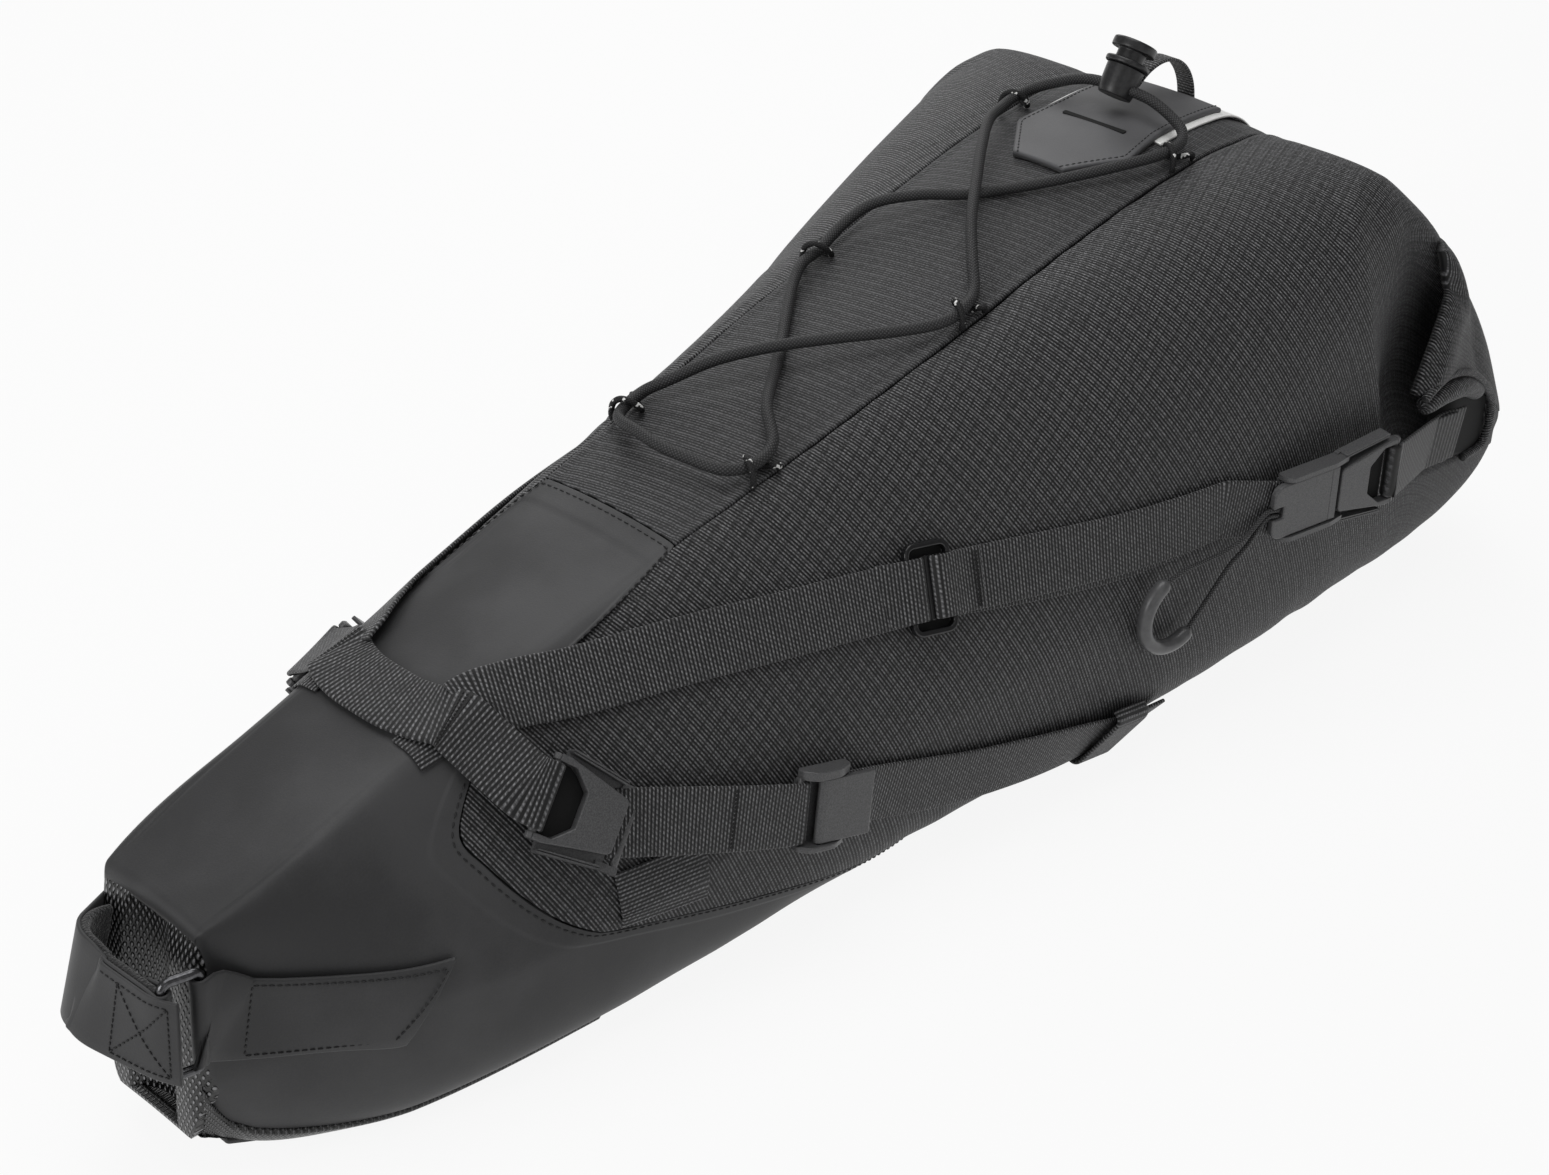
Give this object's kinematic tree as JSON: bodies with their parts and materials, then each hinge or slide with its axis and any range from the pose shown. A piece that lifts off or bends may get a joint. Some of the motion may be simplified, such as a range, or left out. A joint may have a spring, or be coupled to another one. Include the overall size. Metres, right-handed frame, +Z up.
{
  "type": "saddle bag",
  "caption": "Large bikepacking saddle bag with seat-post strap, rail strap on magnetic hook buckles, cam straps, side compression straps, laced shock cord with cord lock and a rolled tail.",
  "frame": {"origin": "on the flat base under the bag, 300 mm behind the nose lip, on the bag's middle plane", "axes": "+X to the tail, +Y to the rider's right, +Z up; the bag hangs level with its base along X"},
  "size_m": [0.6984, 0.3016, 0.2516],
  "materials": {
    "coated_cloth": "matt coated laminate",
    "ripstop_cloth": "dark ripstop weave",
    "stiffener_sheet": "smooth sheet",
    "mesh_pad": "spacer mesh",
    "reflective_cloth": "white retroreflective",
    "pile_tape": "hook-and-loop pile",
    "ring_steel": "polished wire",
    "webbing": "ribbed polyester webbing",
    "buckle_plastic": "fine-grained moulding",
    "cord": "braided sheath",
    "grip_rubber": "smooth moulded tube",
    "lock_plastic": "satin moulding"
  },
  "bodies": {
    "bag": {"hood_panel": "coated_cloth", "base_panel": "coated_cloth", "top_panel": "ripstop_cloth", "side_panel_left": "ripstop_cloth", "side_panel_right": "ripstop_cloth", "base_stiffener": "stiffener_sheet", "nose_stiffener": "stiffener_sheet", "seatpost_pad": "mesh_pad", "edge_binding": "mesh_pad", "tail_roll": "ripstop_cloth", "mouth_stiffener": "stiffener_sheet", "reflective_panel": "reflective_cloth", "light_patch": "coated_cloth", "grip_strap": "coated_cloth", "grip_lining": "pile_tape", "strap_ring": "ring_steel", "strap_patch_left": "coated_cloth", "strap_patch_right": "coated_cloth", "rail_strap": "webbing", "rail_catch_left": "buckle_plastic", "rail_catch_right": "buckle_plastic", "cam_link_left": "webbing", "cam_link_right": "webbing", "cam_body_left": "buckle_plastic", "cam_body_right": "buckle_plastic", "cam_strap_left": "webbing", "cam_strap_right": "webbing", "keeper_left": "webbing", "keeper_right": "webbing", "side_strap_left": "webbing", "side_strap_right": "webbing", "tail_catch_left": "buckle_plastic", "tail_catch_right": "buckle_plastic", "tail_ear_left": "ripstop_cloth", "tail_ear_right": "ripstop_cloth", "link_anchor_left": "webbing", "link_anchor_right": "webbing", "hood_tabs": "webbing", "tail_tab_left": "webbing", "tail_tab_right": "webbing", "lacing_loops": "cord", "bungee_cord": "cord", "lock_barrel": "lock_plastic", "lock_spring": "ring_steel", "finger_ribbon": "webbing"},
    "rail_hook_left": {"rail_hook_left": "buckle_plastic"},
    "rail_hook_right": {"rail_hook_right": "buckle_plastic"},
    "tail_hook_left": {"tail_hook_left": "buckle_plastic"},
    "tail_hook_right": {"tail_hook_right": "buckle_plastic"},
    "cam_lever_left": {"cam_lever_left": "buckle_plastic"},
    "cam_lever_right": {"cam_lever_right": "buckle_plastic"},
    "slider_left": {"slider_left": "buckle_plastic"},
    "slider_right": {"slider_right": "buckle_plastic"},
    "lock_button": {"lock_button": "lock_plastic"},
    "tail_lever_left": {"tail_lever_left": "buckle_plastic", "pull_cord_left": "cord", "pull_grip_left": "grip_rubber"},
    "tail_lever_right": {"tail_lever_right": "buckle_plastic", "pull_cord_right": "cord", "pull_grip_right": "grip_rubber"}
  },
  "joints": [
    {"name": "rail_hook_lift_left", "type": "hinge", "parent": "bag", "child": "rail_hook_left", "pos_m": [-0.18336, -0.06092, 0.11112], "axis": [-0.7408, -0.2407, -0.6271], "range_deg": [0, 60]},
    {"name": "rail_hook_lift_right", "type": "hinge", "parent": "bag", "child": "rail_hook_right", "pos_m": [-0.18336, 0.06092, 0.11112], "axis": [0.7408, -0.2407, 0.6271], "range_deg": [0, 60]},
    {"name": "tail_hook_lift_left", "type": "hinge", "parent": "bag", "child": "tail_hook_left", "pos_m": [0.21448, -0.14737, 0.10066], "axis": [0.0014, 0.0047, 1], "range_deg": [0, 60]},
    {"name": "tail_hook_lift_right", "type": "hinge", "parent": "bag", "child": "tail_hook_right", "pos_m": [0.21448, 0.14737, 0.10066], "axis": [-0.0014, 0.0047, -1], "range_deg": [0, 60]},
    {"name": "tail_lever_lift_left", "type": "hinge", "parent": "bag", "child": "tail_lever_left", "pos_m": [0.17642, -0.13797, 0.10067], "axis": [0.0014, 0.0047, 1], "range_deg": [0, 45]},
    {"name": "tail_lever_lift_right", "type": "hinge", "parent": "bag", "child": "tail_lever_right", "pos_m": [0.17642, 0.13797, 0.10067], "axis": [-0.0014, 0.0047, -1], "range_deg": [0, 45]},
    {"name": "cam_lever_lift_left", "type": "hinge", "parent": "bag", "child": "cam_lever_left", "pos_m": [-0.08421, -0.09823, 0.06704], "axis": [-0.2648, -0.122, -0.9565], "range_deg": [0, 75]},
    {"name": "cam_lever_lift_right", "type": "hinge", "parent": "bag", "child": "cam_lever_right", "pos_m": [-0.08421, 0.09823, 0.06704], "axis": [0.2648, -0.122, 0.9565], "range_deg": [0, 75]},
    {"name": "slider_move_left", "type": "slide", "parent": "bag", "child": "slider_left", "axis": [0.9521, -0.2822, -0.1178], "range_m": [-0.01, 0.01]},
    {"name": "slider_move_right", "type": "slide", "parent": "bag", "child": "slider_right", "axis": [0.9521, 0.2822, -0.1178], "range_m": [-0.01, 0.01]},
    {"name": "lock_button_press", "type": "slide", "parent": "bag", "child": "lock_button", "axis": [-0.5736, 0, -0.8192], "range_m": [0, 0.004], "stiffness_N_per_m": 500}
  ]
}
